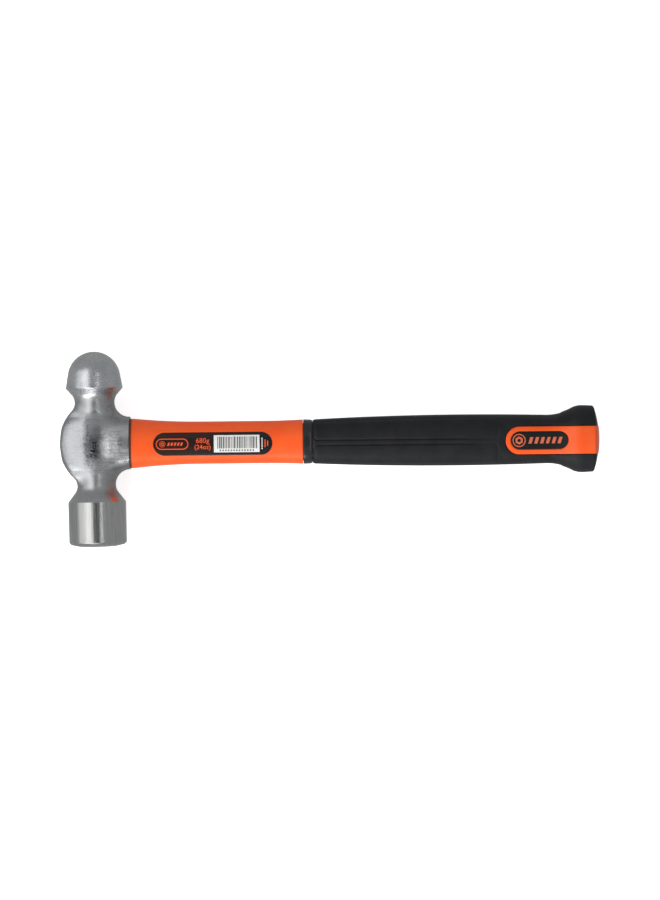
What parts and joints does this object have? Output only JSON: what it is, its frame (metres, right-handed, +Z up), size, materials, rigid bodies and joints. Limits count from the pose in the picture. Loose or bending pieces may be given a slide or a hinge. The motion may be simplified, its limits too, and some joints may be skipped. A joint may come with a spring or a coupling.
{
  "type": "ball peen hammer",
  "caption": "Ball peen hammer with a forged steel head, a slim orange plastic shaft over a bonded core, and a black rubber grip that flares at the butt.",
  "frame": {"origin": "on the surface that the hammer lies on, under the middle of its bounding box", "axes": "+X along the handle from the head to the butt, +Y from the handle towards the ball, +Z up out of the label's side"},
  "size_m": [0.3358, 0.122, 0.036],
  "materials": {
    "forged_steel": "forged steel, finely ground and clear lacquered",
    "cured_resin": "cast epoxy resin, dark amber",
    "fibreglass": "sawn pultruded glass fibre",
    "seal_rubber": "thin matt seal",
    "orange_plastic": "satin moulded polypropylene",
    "black_plastic": "gloss moulded plastic",
    "grip_rubber": "matt thermoplastic rubber",
    "label_film": "printed film"
  },
  "bodies": {
    "root": {"hammer_head": "forged_steel", "eye_resin": "cured_resin", "fibreglass_core": "fibreglass", "eye_gasket": "seal_rubber", "handle_jacket": "orange_plastic", "grip_collar": "black_plastic", "rubber_grip": "grip_rubber", "shaft_label": "label_film", "badge_front": "black_plastic", "badge_back": "black_plastic"}
  },
  "joints": []
}
